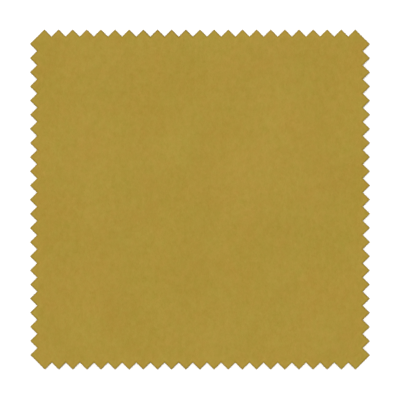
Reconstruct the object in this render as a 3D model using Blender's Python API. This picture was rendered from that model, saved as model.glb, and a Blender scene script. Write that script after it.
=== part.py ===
"""Pinked velvet sample: pile, ground cloth and back coating, lying flat with the pile up.

The origin is at the middle of the back face. X runs along the width, Y along the
length, which is the way the nap lies, and +Z points out of the pile.
"""

import math

import bpy

OBJECT_NAME = "pinked_velvet_sample"

# Driving dimensions, in metres.
CLOTH_WIDTH = 0.1000  # across X, from tooth tips to tooth tips
CLOTH_LENGTH = 0.1000  # across Y, from tooth tips to tooth tips
TOOTH_PITCH = 0.00417  # tip to tip on the pinking blade
TOOTH_ANGLE = math.radians(90.0)  # between the two flanks at a tooth's tip
COATING_THICKNESS = 0.0002  # acrylic film on the back
GROUND_THICKNESS = 0.0004  # woven cloth that holds the tufts
PILE_HEIGHT = 0.0010  # cut tufts, from the ground cloth to their tips
LAYER_GAP = 0.0003  # kept between layers that touch on the real cloth

# Finishes: linear colour, roughness, metallic.
PILE_FINISH = ((0.376, 0.258, 0.043), 0.90, 0.0)
GROUND_FINISH = ((0.290, 0.190, 0.040), 0.85, 0.0)
COATING_FINISH = ((0.560, 0.490, 0.330), 0.60, 0.0)


def clear_scene():
    """Remove every object that the scene starts with."""
    for obj in list(bpy.data.objects):
        bpy.data.objects.remove(obj, do_unlink=True)


def make_collection(name):
    """Make the collection that holds the parts."""
    collection = bpy.data.collections.new(name)
    bpy.context.scene.collection.children.link(collection)
    return collection


def make_material(name, finish):
    """Make a Principled material from a colour, a roughness and a metallic value."""
    colour, roughness, metallic = finish
    material = bpy.data.materials.new(name)
    material.use_nodes = True
    shader = material.node_tree.nodes["Principled BSDF"]
    shader.inputs["Base Color"].default_value = (*colour, 1.0)
    shader.inputs["Roughness"].default_value = roughness
    shader.inputs["Metallic"].default_value = metallic
    return material


def teeth_along(side):
    """How many whole teeth of the blade's pitch share a side."""
    return max(3, round(side / TOOTH_PITCH))


def pinked_side(side):
    """Points of one side as (distance along it, depth in from the tips).

    The side starts and ends on a tooth's tip, one pitch in from each corner, so
    a straight cut from side to side takes every corner off.
    """
    teeth = teeth_along(side)
    pitch = side / teeth
    depth = 0.5 * pitch / math.tan(0.5 * TOOTH_ANGLE)
    points = [(pitch, 0.0)]
    for tooth in range(2, teeth):
        points.append(((tooth - 0.5) * pitch, depth))
        points.append((tooth * pitch, 0.0))
    return points


def pinked_outline(width, length):
    """The cut edge, anticlockwise from the tip nearest the front left corner."""
    half_width = 0.5 * width
    half_length = 0.5 * length
    across = pinked_side(width)
    along = pinked_side(length)
    front = [(s - half_width, d - half_length) for s, d in across]
    right = [(half_width - d, s - half_length) for s, d in along]
    back = [(half_width - s, half_length - d) for s, d in across]
    left = [(d - half_width, half_length - s) for s, d in along]
    return front + right + back + left


def make_layer(name, outline, bottom, thickness, finish, collection):
    """Make one layer of the cloth: the outline extruded up from a height."""
    curve = bpy.data.curves.new(name, "CURVE")
    curve.dimensions = "2D"
    curve.fill_mode = "BOTH"
    curve.extrude = 0.5 * thickness
    spline = curve.splines.new("POLY")
    spline.points.add(len(outline) - 1)
    for point, (x, y) in zip(spline.points, outline):
        point.co = (x, y, 0.0, 1.0)
    spline.use_cyclic_u = True
    curve.materials.append(make_material(name, finish))
    layer = bpy.data.objects.new(name, curve)
    layer.location = (0.0, 0.0, bottom + 0.5 * thickness)
    collection.objects.link(layer)
    return layer


def main():
    """Build the layers from the back of the cloth upwards."""
    clear_scene()
    collection = make_collection(OBJECT_NAME)
    outline = pinked_outline(CLOTH_WIDTH, CLOTH_LENGTH)
    layers = (
        ("back_coating", COATING_THICKNESS, COATING_FINISH),
        ("ground_cloth", GROUND_THICKNESS, GROUND_FINISH),
        ("pile", PILE_HEIGHT, PILE_FINISH),
    )
    bottom = 0.0
    for name, thickness, finish in layers:
        make_layer(name, outline, bottom, thickness, finish, collection)
        bottom += thickness + LAYER_GAP


if __name__ == "__main__":
    main()
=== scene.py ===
"""Looks of a pinked velvet sample: brushed pile on a woven ground cloth with a coated back.

The cloth is modelled flat, as it was cut, and then laid down: a cloth simulation of the
piece settling on a table gives the small lifts and waves that every layer follows.
"""

import logging
import math
from collections.abc import Callable
from dataclasses import dataclass, field
from enum import Enum

import bpy
import numpy as np
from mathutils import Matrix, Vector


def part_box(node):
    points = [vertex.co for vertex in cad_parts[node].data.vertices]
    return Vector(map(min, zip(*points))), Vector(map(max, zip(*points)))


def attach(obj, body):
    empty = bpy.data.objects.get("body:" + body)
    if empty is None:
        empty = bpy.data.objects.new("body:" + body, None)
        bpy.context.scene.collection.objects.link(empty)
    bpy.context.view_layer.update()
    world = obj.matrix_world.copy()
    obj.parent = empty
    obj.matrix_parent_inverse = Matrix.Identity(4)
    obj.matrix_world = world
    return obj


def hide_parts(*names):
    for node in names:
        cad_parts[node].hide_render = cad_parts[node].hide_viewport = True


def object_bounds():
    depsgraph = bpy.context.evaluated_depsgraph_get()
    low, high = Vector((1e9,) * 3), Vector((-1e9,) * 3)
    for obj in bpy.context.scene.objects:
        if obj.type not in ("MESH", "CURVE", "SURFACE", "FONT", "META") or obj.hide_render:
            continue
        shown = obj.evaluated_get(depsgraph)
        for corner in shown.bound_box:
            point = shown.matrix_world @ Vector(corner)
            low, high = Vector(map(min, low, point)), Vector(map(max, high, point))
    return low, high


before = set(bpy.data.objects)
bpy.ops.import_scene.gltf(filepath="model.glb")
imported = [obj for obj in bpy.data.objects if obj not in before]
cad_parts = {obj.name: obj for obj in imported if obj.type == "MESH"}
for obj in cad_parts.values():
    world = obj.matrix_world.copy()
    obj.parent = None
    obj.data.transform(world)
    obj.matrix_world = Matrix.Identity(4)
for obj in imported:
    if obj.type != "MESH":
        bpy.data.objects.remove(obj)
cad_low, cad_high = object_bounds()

log = logging.getLogger("velvet_sample")

NodeValue = bpy.types.NodeSocket | float | tuple[float, ...]
Range = tuple[float, float]

MM = 0.001
ROOT_BODY = "root"
BAKE_MAP = "OFBake"
STEPS_IN_HALF_TOOTH = 6  # lattice steps from a tooth's tip to its valley
YARNS_IN_TOOTH = 6  # ground yarns under one tooth
FIBRE_GIRTHS = (0.6, 1.4)  # thinnest and thickest fibre, as shares of the usual width


class FineFace(Enum):
    """The face of a layer that holds its relief; the other face lies against its neighbour."""

    TOP = 1
    BACK = -1


class Yarn(Enum):
    """A yarn system of the ground cloth, by the axis that it runs along."""

    WEFT = 0
    WARP = 1


# ---------------------------------------------------------------------------
# The cut
# ---------------------------------------------------------------------------


@dataclass(frozen=True)
class PinkedCut:
    """The square that the pinking blade cuts, with a 90 degree tooth on every pitch.

    Attributes:
        low: front left corner of the square through the tooth tips, in metres.
        high: back right corner of that square.
        teeth: whole pitches across the width and along the length.
    """

    low: np.ndarray
    high: np.ndarray
    teeth: tuple[int, int]

    @classmethod
    def of_node(cls, node: str) -> "PinkedCut":
        """Read the cut from a layer of the frame.

        Args:
            node: name of the frame's node.

        Returns:
            The cut, with its teeth counted from the tips on the front and left sides.
        """
        low, high = (np.array(corner[:2]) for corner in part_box(node))
        points = np.array([vertex.co[:2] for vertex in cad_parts[node].data.vertices])
        teeth = []
        for axis in (0, 1):
            on_side = np.isclose(points[:, 1 - axis], low[1 - axis], atol=1e-6)
            tips = np.unique(np.round(points[on_side, axis], 6))
            teeth.append(len(tips) + 1)
        return cls(low, high, tuple(teeth))

    @property
    def size(self) -> np.ndarray:
        """Width and length, from tips to tips."""
        return self.high - self.low

    @property
    def pitch(self) -> np.ndarray:
        """Tooth pitch across and along."""
        return self.size / np.array(self.teeth)

    @property
    def area(self) -> float:
        """Area of the cut cloth: the square less its notches and its four corners.

        Returns:
            The area, in square metres.
        """
        notches = 2 * sum(teeth - 2 for teeth in self.teeth)
        notch = 0.25 * float(np.prod(self.pitch))
        return float(np.prod(self.size)) - notches * notch - 4 * 2 * notch

    def inset(self, axis: int, place: np.ndarray) -> np.ndarray:
        """How far in from the tips the cut lies, at places along a side.

        Args:
            axis: 0 for the front and back sides, 1 for the left and right ones.
            place: coordinates along that axis.

        Returns:
            The depth of the cut there: the zigzag's, or the corner's within one pitch of it.
        """
        pitch = self.pitch[axis]
        from_corner = np.minimum(place - self.low[axis], self.high[axis] - place)
        zigzag = np.abs((from_corner / pitch + 0.5) % 1 - 0.5) * pitch
        return np.where(from_corner < pitch, pitch - from_corner, zigzag)


@dataclass
class Lattice:
    """Grid points over the cut cloth. The grid's diagonals run along the teeth's flanks.

    Attributes:
        cut: the cut that bounds the points.
        steps: grid steps in half a tooth.
        place: column and row of each point on the cloth.
        number: number of the point at each column and row, or -1 off the cloth.
    """

    cut: PinkedCut
    steps: int
    place: np.ndarray = field(init=False)
    number: np.ndarray = field(init=False)

    def __post_init__(self) -> None:
        """Number the points that lie on the cloth."""
        columns, rows = np.meshgrid(*(np.arange(n + 1) for n in self.cells), indexing="ij")
        on_cloth = self.steps_in(columns, rows) >= 0
        self.place = np.argwhere(on_cloth)
        self.number = np.full(on_cloth.shape, -1)
        self.number[on_cloth] = np.arange(len(self.place))

    @property
    def cells(self) -> tuple[int, int]:
        """Cells across and along."""
        return tuple(2 * self.steps * teeth for teeth in self.cut.teeth)

    @property
    def spacing(self) -> np.ndarray:
        """Size of a cell."""
        return self.cut.size / np.array(self.cells)

    def to_tip(self, steps: np.ndarray) -> np.ndarray:
        """Steps from each place along a side to the nearest tooth tip."""
        return np.abs((steps + self.steps) % (2 * self.steps) - self.steps)

    def steps_in(self, columns: np.ndarray, rows: np.ndarray) -> np.ndarray:
        """Steps in from the cut, measured along a row or column.

        Args:
            columns: columns of the places.
            rows: rows of the places.

        Returns:
            The steps, negative off the cloth.
        """
        from_side = np.minimum(columns, self.cells[0] - columns)
        from_end = np.minimum(rows, self.cells[1] - rows)
        inside = np.minimum(
            from_side - self.to_tip(from_end),
            from_end - self.to_tip(from_side),
        )
        return np.minimum(inside, from_side + from_end - 2 * self.steps)

    def depth(self) -> np.ndarray:
        """Distance of each point from the nearest flank, square to it, in metres."""
        return self.steps_in(*self.place.T) * float(self.spacing.mean()) / math.sqrt(2)

    def flat(self) -> np.ndarray:
        """Flat x and y of each point, in metres."""
        return self.cut.low + self.place * self.spacing

    def facets(self) -> tuple[np.ndarray, np.ndarray]:
        """Join the points.

        Returns:
            Whole cells as quads and halved cells as triangles, anticlockwise from above.
        """
        n = self.number
        corners = np.stack([n[:-1, :-1], n[1:, :-1], n[1:, 1:], n[:-1, 1:]], -1).reshape(-1, 4)
        on_cloth = (corners >= 0).sum(1)
        halves = corners[on_cloth == 3]
        return corners[on_cloth == 4], halves[halves >= 0].reshape(-1, 3)

    def rim(self) -> np.ndarray:
        """Follow the cut round the cloth.

        Returns:
            Point numbers along the cut, anticlockwise, from the front side's first tip.
        """
        across, along = self.cells
        tooth = 2 * self.steps
        i = np.arange(tooth, across - tooth + 1)
        j = np.arange(tooth, along - tooth + 1)
        corner = np.arange(1, tooth)
        columns_and_rows = (
            (i, self.to_tip(i)),
            (across - tooth + corner, corner),
            (across - self.to_tip(j), j),
            (across - corner, along - tooth + corner),
            (across - i, along - self.to_tip(i)),
            (tooth - corner, along - corner),
            (self.to_tip(j), along - j),
            (corner, tooth - corner),
        )
        return np.concatenate([self.number[c, r] for c, r in columns_and_rows])

    def random_field(self, rng: np.random.Generator, width: float, length: float) -> np.ndarray:
        """Smooth random heights at the points.

        Args:
            rng: source of the random numbers.
            width: size of a patch across, in metres.
            length: size of a patch along the nap, in metres.

        Returns:
            One value for each point, with a mean of 0 and a deviation of 1.
        """
        noise = np.fft.rfft2(rng.standard_normal(self.number.shape))
        across = np.fft.fftfreq(self.number.shape[0], self.spacing[0])[:, None] * width
        along = np.fft.rfftfreq(self.number.shape[1], self.spacing[1])[None] * length
        noise *= np.exp(-((math.pi * across) ** 2 + (math.pi * along) ** 2) / 2)
        smooth = np.fft.irfft2(noise, s=self.number.shape)[tuple(self.place.T)]
        return (smooth - smooth.mean()) / smooth.std()


def outward(loop: np.ndarray) -> np.ndarray:
    """Find which way is out, all along a loop.

    Args:
        loop: x, y points of a closed anticlockwise loop.

    Returns:
        A unit vector for each point, square to the loop there.
    """
    run = np.roll(loop, -1, 0) - np.roll(loop, 1, 0)
    run /= np.linalg.norm(run, axis=1, keepdims=True)
    return np.stack([run[:, 1], -run[:, 0]], 1)


# ---------------------------------------------------------------------------
# The lay of the cloth
# ---------------------------------------------------------------------------


@dataclass
class Lay:
    """How the flat cloth lies on the table: a smooth shift for every point of its back.

    Attributes:
        low: front left corner of the shifts' grid.
        size: width and length of that grid.
        shift: shifts in metres, on an even grid over the cloth.
        reach: how far to each side the slope is read, in metres.
    """

    low: np.ndarray
    size: np.ndarray
    shift: np.ndarray
    reach: float = 0.4 * MM

    def shift_at(self, flat: np.ndarray) -> np.ndarray:
        """Read the shift through a cubic curve both ways.

        Args:
            flat: x, y points on the flat cloth.

        Returns:
            The shift of the cloth's back at each point.
        """
        last = np.array(self.shift.shape[:2]) - 1
        at = (flat - self.low) / self.size * last
        cell = np.clip(np.floor(at).astype(int), 0, last - 1)
        u = (at - cell)[:, :, None]
        weights = 0.5 * np.concatenate(
            [
                -u + 2 * u**2 - u**3,
                2 - 5 * u**2 + 3 * u**3,
                u + 4 * u**2 - 3 * u**3,
                u**3 - u**2,
            ],
            axis=2,
        )
        total = np.zeros((len(flat), 3))
        for a in range(4):
            column = np.clip(cell[:, 0] + a - 1, 0, last[0])
            for b in range(4):
                row = np.clip(cell[:, 1] + b - 1, 0, last[1])
                weight = weights[:, 0, a] * weights[:, 1, b]
                total += weight[:, None] * self.shift[column, row]
        return total

    def laid(self, points: np.ndarray) -> np.ndarray:
        """Carry points of the flat cloth to where they lie.

        Args:
            points: x, y and height above the back, in metres.

        Returns:
            The points on the laid cloth, each as far out from its back as it was.
        """
        flat = points[:, :2]
        slopes = []
        for axis in (0, 1):
            step = np.zeros(2)
            step[axis] = self.reach
            rise = (self.shift_at(flat + step) - self.shift_at(flat - step)) / (2 * self.reach)
            rise[:, axis] += 1
            slopes.append(rise)
        normal = np.cross(slopes[0], slopes[1])
        normal /= np.linalg.norm(normal, axis=1, keepdims=True)
        back = np.column_stack([flat, np.zeros(len(flat))]) + self.shift_at(flat)
        return back + normal * points[:, 2:]


@dataclass(frozen=True)
class Settling:
    """A cloth simulation of the sample settling on a table, still a little curled from its roll.

    The solver works best on cloth about a metre wide, so the sample is simulated enlarged.

    Attributes:
        cells: quads along each side of the simulated cloth.
        enlarged: how much larger than life it is simulated.
        roll_radius: radius that the roll left in the cloth, at life size.
        roll_slant: angle between the curl and the cloth's width.
        wave: height of the broad waves that handling left in it, at life size.
        waves: how many of each broad wave fit in the cloth's width.
        bending: the solver's bending stiffness.
        weight: share of gravity that the enlarged cloth feels.
        frames: frames that it has to settle.
        drop: how far above the table the enlarged cloth starts.
        highest: the most that its edge stays lifted, at life size.
        creep: share of the solver's sideways creep that is kept, since the cut stays square.
        seed: seed of the waves.
    """

    cells: int = 20
    enlarged: float = 10.0
    roll_radius: float = 0.10
    roll_slant: float = math.radians(20.0)
    wave: float = 0.5 * MM
    waves: tuple[float, ...] = (1.1, 1.7, 2.3)
    bending: float = 40.0
    weight: float = 0.2
    frames: int = 100
    drop: float = 0.01
    highest: float = 1.1 * MM
    creep: float = 0.15
    seed: int = 7

    def curled(self, flat: np.ndarray) -> np.ndarray:
        """Curl the flat cloth as the roll left it, without stretching it.

        Args:
            flat: grid of x, y places, with the middle of the cloth at 0, 0.

        Returns:
            The grid of points, with its lowest point at height 0.
        """
        way = np.array([math.cos(self.roll_slant), math.sin(self.roll_slant)])
        aside = np.array([-way[1], way[0]])
        turn = flat @ way / self.roll_radius
        across = self.roll_radius * np.sin(turn)
        place = across[..., None] * way + (flat @ aside)[..., None] * aside
        height = self.roll_radius * (1 - np.cos(turn))
        rng = np.random.default_rng(self.seed)
        for waves in self.waves:
            angle, phase = rng.uniform(0, 2 * math.pi, 2)
            along = flat @ np.array([math.cos(angle), math.sin(angle)]) / np.ptp(flat[..., 0])
            height = height + self.wave / waves * np.sin(2 * math.pi * waves * along + phase)
        return np.concatenate([place, (height - height.min())[..., None]], -1)

    def run(self, cut: PinkedCut) -> Lay:
        """Let the sample settle.

        Args:
            cut: the sample's cut, which gives its size.

        Returns:
            The lay of the cloth, square to the frame, with its lowest point on the table.
        """
        middle = 0.5 * (cut.low + cut.high)
        ticks = [np.linspace(-0.5, 0.5, self.cells + 1) * side for side in cut.size]
        flat = np.stack(np.meshgrid(*ticks, indexing="ij"), -1)
        settled = self.curled(flat)
        settled = self.simulate(settled)
        settled[..., :2] = self.squared(settled[..., :2], flat)
        shift = settled - np.concatenate([flat, np.zeros_like(flat[..., :1])], -1)
        shift[..., :2] *= self.creep
        shift[..., 2] -= shift[..., 2].min()
        shift[..., 2] *= min(1.0, self.highest / shift[..., 2].max())
        log.info("the cloth lies with its edge lifted up to %.2f mm", shift[..., 2].max() / MM)
        return Lay(middle - 0.5 * cut.size, cut.size, shift)

    @staticmethod
    def squared(places: np.ndarray, flat: np.ndarray) -> np.ndarray:
        """Turn and slide settled places back to lie as square as the flat ones.

        Args:
            places: grid of x, y places where the cloth settled.
            flat: the same grid on the flat cloth.

        Returns:
            The settled places, centred and turned.
        """
        centred = places - places.mean((0, 1))
        turned = centred[..., 0] * flat[..., 1] - centred[..., 1] * flat[..., 0]
        angle = math.atan2(turned.sum(), (centred * flat).sum())
        cos, sin = math.cos(angle), math.sin(angle)
        return centred @ np.array([[cos, sin], [-sin, cos]])

    def simulate(self, start: np.ndarray) -> np.ndarray:
        """Run the solver on a grid of points.

        Args:
            start: the curled cloth's points, at life size.

        Returns:
            Where the points end up, at life size.
        """
        cloth = self.enlarged_cloth(start)
        table = self.enlarged_table()
        scene = bpy.context.scene
        solver = cloth.modifiers.new("Cloth", "CLOTH")
        settings = solver.settings
        settings.quality = 8
        settings.mass = 0.25
        settings.effector_weights.gravity = self.weight
        settings.tension_stiffness = settings.compression_stiffness = 40.0
        settings.shear_stiffness = 25.0
        settings.bending_stiffness = self.bending
        settings.air_damping = 3.0
        solver.collision_settings.distance_min = 0.004
        solver.collision_settings.collision_quality = 3
        solver.point_cache.frame_end = self.frames
        for number in range(1, self.frames + 1):
            scene.frame_set(number)
        graph = bpy.context.evaluated_depsgraph_get()
        ended = np.array([v.co[:] for v in cloth.evaluated_get(graph).data.vertices])
        for helper in (cloth, table):
            bpy.data.objects.remove(helper, do_unlink=True)
        scene.frame_set(1)
        return (ended / self.enlarged).reshape(start.shape)

    def enlarged_cloth(self, start: np.ndarray) -> bpy.types.Object:
        """Make the cloth for the solver, just above the table.

        Args:
            start: grid of its points, at life size.

        Returns:
            The cloth's object, enlarged.
        """
        n = self.cells + 1
        numbers = np.arange(n * n).reshape(n, n)
        corners = [numbers[:-1, :-1], numbers[1:, :-1], numbers[1:, 1:], numbers[:-1, 1:]]
        quads = np.stack(corners, -1).reshape(-1, 4)
        points = (start * self.enlarged).reshape(-1, 3)
        points[:, 2] += self.drop
        mesh = bpy.data.meshes.new("settling_cloth")
        mesh.from_pydata(points.tolist(), [], quads.tolist())
        cloth = bpy.data.objects.new("settling_cloth", mesh)
        bpy.context.scene.collection.objects.link(cloth)
        return cloth

    @staticmethod
    def enlarged_table() -> bpy.types.Object:
        """Make the table that the enlarged cloth settles on.

        Returns:
            The table's object.
        """
        bpy.ops.mesh.primitive_plane_add(size=6.0)
        table = bpy.context.object
        table.modifiers.new("Collision", "COLLISION")
        table.collision.thickness_outer = 0.005
        table.collision.cloth_friction = 8.0
        return table


# ---------------------------------------------------------------------------
# Meshes
# ---------------------------------------------------------------------------


@dataclass
class Faces:
    """Faces of one kind with the bake map of their corners.

    Attributes:
        corners: point numbers, one row for each face.
        uv: place of each corner on the bake map.
    """

    corners: np.ndarray
    uv: np.ndarray

    def turned(self) -> "Faces":
        """The same faces, seen from the other side."""
        return Faces(self.corners[:, ::-1], self.uv[:, ::-1])


def make_piece(name: str, points: np.ndarray, faces: list[Faces]) -> bpy.types.Object:
    """Make a mesh object from points and faces.

    Args:
        name: the piece's name.
        points: x, y, z of its points, in metres.
        faces: its faces, in groups with as many corners each.

    Returns:
        The object, smooth shaded and linked to the scene.
    """
    corners = np.concatenate([group.corners.ravel() for group in faces])
    sizes = np.concatenate([np.full(len(g.corners), g.corners.shape[1]) for g in faces])
    mesh = bpy.data.meshes.new(name)
    mesh.vertices.add(len(points))
    mesh.vertices.foreach_set("co", points.astype(np.float32).ravel())
    mesh.loops.add(len(corners))
    mesh.loops.foreach_set("vertex_index", corners.astype(np.int32))
    mesh.polygons.add(len(sizes))
    starts = np.concatenate([[0], np.cumsum(sizes)[:-1]])
    mesh.polygons.foreach_set("loop_start", starts.astype(np.int32))
    bake_map = mesh.uv_layers.new(name=BAKE_MAP)
    places = np.concatenate([group.uv.reshape(-1, 2) for group in faces])
    bake_map.data.foreach_set("uv", places.astype(np.float32).ravel())
    mesh.update(calc_edges=True)
    mesh.shade_smooth()
    piece = bpy.data.objects.new(name, mesh)
    bpy.context.scene.collection.objects.link(piece)
    return piece


def add_value(piece: bpy.types.Object, name: str, values: np.ndarray) -> None:
    """Store a value for each point of a piece, for its finish to read."""
    attribute = piece.data.attributes.new(name, "FLOAT", "POINT")
    attribute.data.foreach_set("value", values.astype(np.float32))


@dataclass(frozen=True)
class BakeSheet:
    """Where the parts of a layer lie on its bake map.

    Attributes:
        margin: gap kept along the map's edge.
        face: side of the square that holds the fine face.
        band_start: where the first band of the cut edge starts.
        band_pitch: from one band to the next.
        band_height: height of a band.
        rows_fill: share of a band that the edge's rows fill, before its last triangles.
        other_start: corner of the square that holds the face with no relief.
    """

    margin: float = 0.005
    face: float = 0.9
    band_start: float = 0.915
    band_pitch: float = 0.0205
    band_height: float = 0.017
    rows_fill: float = 0.9
    other_start: float = 0.915

    def fine(self, share: np.ndarray) -> np.ndarray:
        """Map shares of the cloth's width and length to the fine face's square."""
        return self.margin + self.face * share

    def other(self, share: np.ndarray) -> np.ndarray:
        """Map shares of the cloth's width and length to the other face's square."""
        return self.other_start + (1 - self.margin - self.other_start) * share

    def edge(self, columns: int, column: np.ndarray, side: int, down: float) -> np.ndarray:
        """Map a place on the cut edge to one of four bands, one for each side of the cloth.

        Args:
            columns: points around the whole cut.
            column: column of the face.
            side: 0 for the face's first edge and 1 for its second.
            down: from 0, at the fine face, to 1.

        Returns:
            Places on the map.
        """
        in_band = columns // 4
        band = column // in_band
        u = self.margin + self.face * (column % in_band + side) / in_band
        v = self.band_start + self.band_pitch * band + self.band_height * down
        return np.stack([u, v], -1)


@dataclass
class ClothLayer:
    """One layer of the cloth, closed all round, with its relief on one face.

    Attributes:
        name: the piece's name.
        lattice: points of the fine face.
        fine_height: height of each of those points above the cloth's back, in metres.
        other_height: height of the face that lies against the neighbour.
        fine_face: which face holds the relief.
        edge_rows: rows of the cut edge between the faces, each as (share of the way from the
            fine face to the other, how far out it stands at each point of the rim).
        inset: how far the layer's cut lies inside the sample's.
        sheet: where its faces lie on the bake map.
    """

    name: str
    lattice: Lattice
    fine_height: np.ndarray
    other_height: float
    fine_face: FineFace
    edge_rows: list[tuple[float, np.ndarray]]
    inset: float = 0.0
    sheet: BakeSheet = BakeSheet()

    def build(self, lay: Lay) -> bpy.types.Object:
        """Build the layer flat and lay it down.

        Args:
            lay: how the cloth lies.

        Returns:
            The layer's object.
        """
        plain = Lattice(self.lattice.cut, 1)
        fine_rim, plain_rim = self.lattice.rim(), plain.rim()
        fine = np.column_stack([self.lattice.flat(), self.fine_height])
        out = outward(fine[fine_rim, :2])
        fine[fine_rim, :2] -= self.inset * out
        rim = fine[fine_rim]
        rows = [fine]
        rings = [fine_rim]
        for share, stands_out in self.edge_rows:
            row = rim.copy()
            row[:, :2] += out * stands_out[:, None]
            row[:, 2] += share * (self.other_height - rim[:, 2])
            rings.append(np.arange(len(rim)) + sum(map(len, rows)))
            rows.append(row)
        first_plain = sum(map(len, rows))
        other = np.column_stack([plain.flat(), np.full(len(plain.place), self.other_height)])
        other[plain_rim, :2] -= self.inset * outward(other[plain_rim, :2])
        rows.append(other)
        faces = [
            *self.flat_faces(self.lattice, 0, self.sheet.fine),
            *self.edge_faces(rings),
            *self.last_edge_faces(rings[-1], plain_rim + first_plain),
            *(group.turned() for group in self.flat_faces(plain, first_plain, self.sheet.other)),
        ]
        if self.fine_face is FineFace.BACK:
            faces = [group.turned() for group in faces]
        piece = make_piece(self.name, lay.laid(np.concatenate(rows)), faces)
        shares = [np.full(len(row), 1 - share) for share, row in zip(self.row_shares(), rows)]
        add_value(piece, "along", np.concatenate(shares))
        depths = [self.lattice.depth(), *(np.zeros(len(row)) for row in rows[1:-1]), plain.depth()]
        add_value(piece, "from_cut", np.concatenate(depths))
        return piece

    def row_shares(self) -> list[float]:
        """Share of the way from the fine face to the other of each group of points."""
        return [0.0, *(share for share, _ in self.edge_rows), 1.0]

    @staticmethod
    def flat_faces(
        lattice: Lattice, first: int, place_on_map: Callable[[np.ndarray], np.ndarray]
    ) -> list[Faces]:
        """Faces of one side of the layer, anticlockwise from above."""
        share = lattice.place / np.array(lattice.cells)
        return [Faces(group + first, place_on_map(share[group])) for group in lattice.facets()]

    def edge_faces(self, rings: list[np.ndarray]) -> list[Faces]:
        """Join the rows of the cut edge.

        Args:
            rings: point numbers of each row, from the fine face's rim on.

        Returns:
            The quads between the rows.
        """
        columns = np.arange(len(rings[0]))
        shares = [0.0, *(self.sheet.rows_fill * share for share, _ in self.edge_rows)]
        groups = []
        for upper, lower, a, b in zip(rings, rings[1:], shares, shares[1:]):
            corners = np.stack([lower, np.roll(lower, -1), np.roll(upper, -1), upper], -1)
            uv = [
                self.sheet.edge(len(columns), columns, side, down)
                for side, down in ((0, b), (1, b), (1, a), (0, a))
            ]
            groups.append(Faces(corners, np.stack(uv, 1)))
        return groups

    def last_edge_faces(self, fine: np.ndarray, plain: np.ndarray) -> list[Faces]:
        """Join the last fine row to the few points of the other face's rim.

        Args:
            fine: point numbers of the row.
            plain: point numbers of the rim.

        Returns:
            The triangles that stand on the row, and those that stand on the rim.
        """
        steps = self.lattice.steps
        columns = np.arange(len(fine))
        near = ((columns + steps // 2) // steps) % len(plain)
        sheet, count = self.sheet, len(fine)
        start = sheet.rows_fill * self.edge_rows[-1][0]
        following = np.roll(fine, -1)
        to_fine = np.stack([plain[near], following, fine], -1)
        near_column = np.where(columns % steps < steps // 2, 0, steps) + columns // steps * steps
        offset = near_column - columns
        in_band = count // 4
        peak = sheet.edge(count, columns, 0, 1.0)
        peak[:, 0] += sheet.face * offset / in_band
        uv_fine = np.stack(
            [peak, sheet.edge(count, columns, 1, start), sheet.edge(count, columns, 0, start)], 1
        )
        flanks = np.arange(len(plain))
        middle = flanks * steps + steps // 2
        to_plain = np.stack([plain, np.roll(plain, -1), fine[middle]], -1)
        left = sheet.edge(count, flanks * steps, 0, 1.0)
        right = left + np.array([sheet.face * steps / in_band, 0.0])
        top = sheet.edge(count, middle, 0, start)
        return [Faces(to_fine, uv_fine), Faces(to_plain, np.stack([left, right, top], 1))]


@dataclass
class Fibres:
    """Fine fibres, each a slim closed three-sided spike with one broad face outside.

    Attributes:
        roots: where each fibre starts, on the flat cloth.
        ways: unit vector along each.
        faces: vector that each fibre's broad face looks along.
        lengths: length of each.
        widths: width of each at its root.
        along: how far up the pile the roots and the tips count as, for the finish.
        from_cut: how far in from the cut each counts as, for the finish.
        section: corners of the root's section, to the side and above the broad face, in widths.
    """

    roots: np.ndarray
    ways: np.ndarray
    faces: np.ndarray
    lengths: np.ndarray
    widths: np.ndarray
    along: tuple[np.ndarray, np.ndarray]
    from_cut: np.ndarray
    section: tuple[Range, ...] = ((-0.5, 0.0), (0.5, 0.0), (0.0, -0.2))

    def build(self, name: str, lay: Lay) -> bpy.types.Object:
        """Build all the fibres as one piece.

        Args:
            name: the piece's name.
            lay: how the cloth lies.

        Returns:
            The object.
        """
        count = len(self.roots)
        across = unit(np.cross(self.ways, self.faces))
        under = np.cross(self.ways, across)
        points = np.empty((count, 4, 3))
        for corner, (aside, above) in enumerate(self.section):
            reach = self.widths[:, None] * (aside * across - above * under)
            points[:, corner] = self.roots + reach
        points[:, 3] = self.roots + self.lengths[:, None] * self.ways
        patterns = ((0, 1, 3), (1, 2, 3), (2, 0, 3), (2, 1, 0))
        cells = math.ceil(math.sqrt(count))
        cell = np.stack([np.arange(count) % cells, np.arange(count) // cells], -1)[:, None]
        corners, places = [], []
        for column, pattern in enumerate(patterns):
            corners.append(4 * np.arange(count)[:, None] + np.array(pattern))
            strip = [[column + 0.1, 0.1], [column + 0.9, 0.1], [column + 0.5, 0.9]]
            places.append((cell + np.array(strip) * [0.25, 1.0]) / cells)
        faces = Faces(np.concatenate(corners), np.concatenate(places))
        piece = make_piece(name, lay.laid(points.reshape(-1, 3)), [faces])
        piece.data.shade_flat()
        root, tip = self.along
        add_value(piece, "along", np.stack([root, root, root, tip], 1).ravel())
        add_value(piece, "from_cut", np.repeat(self.from_cut, 4))
        return piece


def unit(vectors: np.ndarray) -> np.ndarray:
    """The vectors at a length of 1."""
    return vectors / np.linalg.norm(vectors, axis=-1, keepdims=True)


# ---------------------------------------------------------------------------
# Finishes
# ---------------------------------------------------------------------------


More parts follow.
